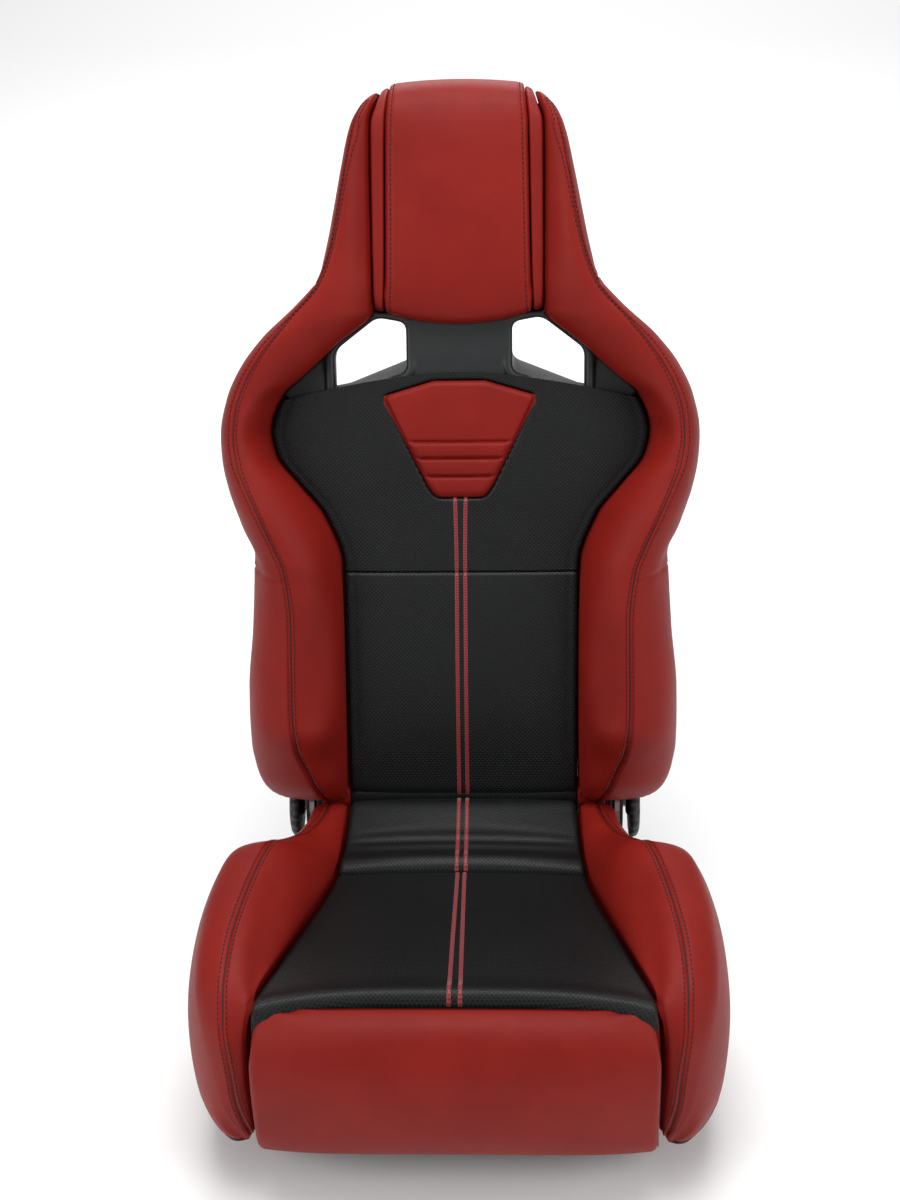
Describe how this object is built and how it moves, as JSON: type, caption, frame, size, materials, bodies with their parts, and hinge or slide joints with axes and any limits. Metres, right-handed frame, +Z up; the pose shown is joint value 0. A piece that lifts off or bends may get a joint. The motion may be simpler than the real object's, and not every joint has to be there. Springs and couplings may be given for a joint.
{
  "type": "reclining sports car seat",
  "caption": "Reclining sports seat with deep bolsters, fixed headrest, two harness slots, folding back and handwheel recliner on a steel base.",
  "frame": {"origin": "on the floor under the middle of the seat's box", "axes": "+Z up, -Y the way the occupant faces, +X to the occupant's left"},
  "size_m": [0.556, 0.7702, 0.9607],
  "materials": {
    "red_leather": "smooth red automotive leather, satin",
    "black_leather": "black perforated automotive leather, satin",
    "black_plastic": "moulded black plastic, fine grain",
    "painted_steel": "black powder coat on pressed steel",
    "zinc_steel": "bright zinc plate",
    "spring_steel": "oiled spring wire"
  },
  "bodies": {
    "seat_base": {"side_frame_left": "painted_steel", "side_frame_right": "painted_steel", "front_cross_tube": "painted_steel", "rear_cross_tube": "painted_steel", "seat_pan": "painted_steel", "lower_bracket_left": "zinc_steel", "lower_bracket_right": "zinc_steel", "bracket_bolt_front_left": "zinc_steel", "bracket_bolt_front_right": "zinc_steel", "bracket_bolt_rear_left": "zinc_steel", "bracket_bolt_rear_right": "zinc_steel", "cushion_rear_pad": "black_leather", "cushion_front_pad": "black_leather", "cushion_front_roll": "red_leather", "cushion_bolster_left": "red_leather", "cushion_bolster_right": "red_leather", "recliner_disc_left": "zinc_steel", "recliner_disc_right": "zinc_steel"},
    "recliner_arms": {"recliner_arm_left": "zinc_steel", "recliner_arm_right": "zinc_steel"},
    "recliner_drive": {"cross_shaft": "zinc_steel", "handwheel_left": "black_plastic", "handwheel_right": "black_plastic"},
    "backrest": {"back_side_member_left": "painted_steel", "back_side_member_right": "painted_steel", "back_cross_member": "painted_steel", "upper_frame_loop": "painted_steel", "lumbar_mat": "spring_steel", "rear_shell": "black_plastic", "slot_surround": "black_plastic", "back_lower_pad": "black_leather", "back_upper_pad": "black_leather", "back_inset_pad": "red_leather", "back_bolster_left": "red_leather", "back_bolster_right": "red_leather", "head_wing_left": "red_leather", "head_wing_right": "red_leather", "headrest_pad": "red_leather", "headrest_strip_left": "red_leather", "headrest_strip_right": "red_leather", "lever_spring_left": "spring_steel", "lever_spring_right": "spring_steel", "shell_screw_1": "zinc_steel", "shell_screw_2": "zinc_steel", "shell_screw_3": "zinc_steel", "shell_screw_4": "zinc_steel"},
    "lever_left": {"fold_lever_left": "black_plastic", "lever_shaft_left": "zinc_steel", "latch_pawl_left": "zinc_steel"},
    "lever_right": {"fold_lever_right": "black_plastic", "lever_shaft_right": "zinc_steel", "latch_pawl_right": "zinc_steel"}
  },
  "joints": [
    {"name": "recline", "type": "hinge", "parent": "seat_base", "child": "recliner_arms", "pos_m": [0, 0.0769, 0.184], "axis": [-1, 0, 0], "range_deg": [-4, 45]},
    {"name": "fold_forward", "type": "hinge", "parent": "recliner_arms", "child": "backrest", "pos_m": [0, 0.0769, 0.184], "axis": [1, 0, 0], "range_deg": [0, 22]},
    {"name": "recliner_turn", "type": "hinge", "parent": "seat_base", "child": "recliner_drive", "pos_m": [0, 0.0769, 0.184], "axis": [-1, 0, 0], "range_deg": [-150, 1630]},
    {"name": "lever_left_pull", "type": "hinge", "parent": "backrest", "child": "lever_left", "pos_m": [0.2, 0.1367, 0.3219], "axis": [1, 0, 0], "range_deg": [0, 22], "stiffness_Nm_per_rad": 1, "springref_deg": -20.05},
    {"name": "lever_right_pull", "type": "hinge", "parent": "backrest", "child": "lever_right", "pos_m": [-0.2, 0.1367, 0.3219], "axis": [1, 0, 0], "range_deg": [0, 22], "stiffness_Nm_per_rad": 1, "springref_deg": -20.05}
  ],
  "couplings": [
    {"joint": "recliner_turn", "follows": "recline", "ratio": 36}
  ]
}
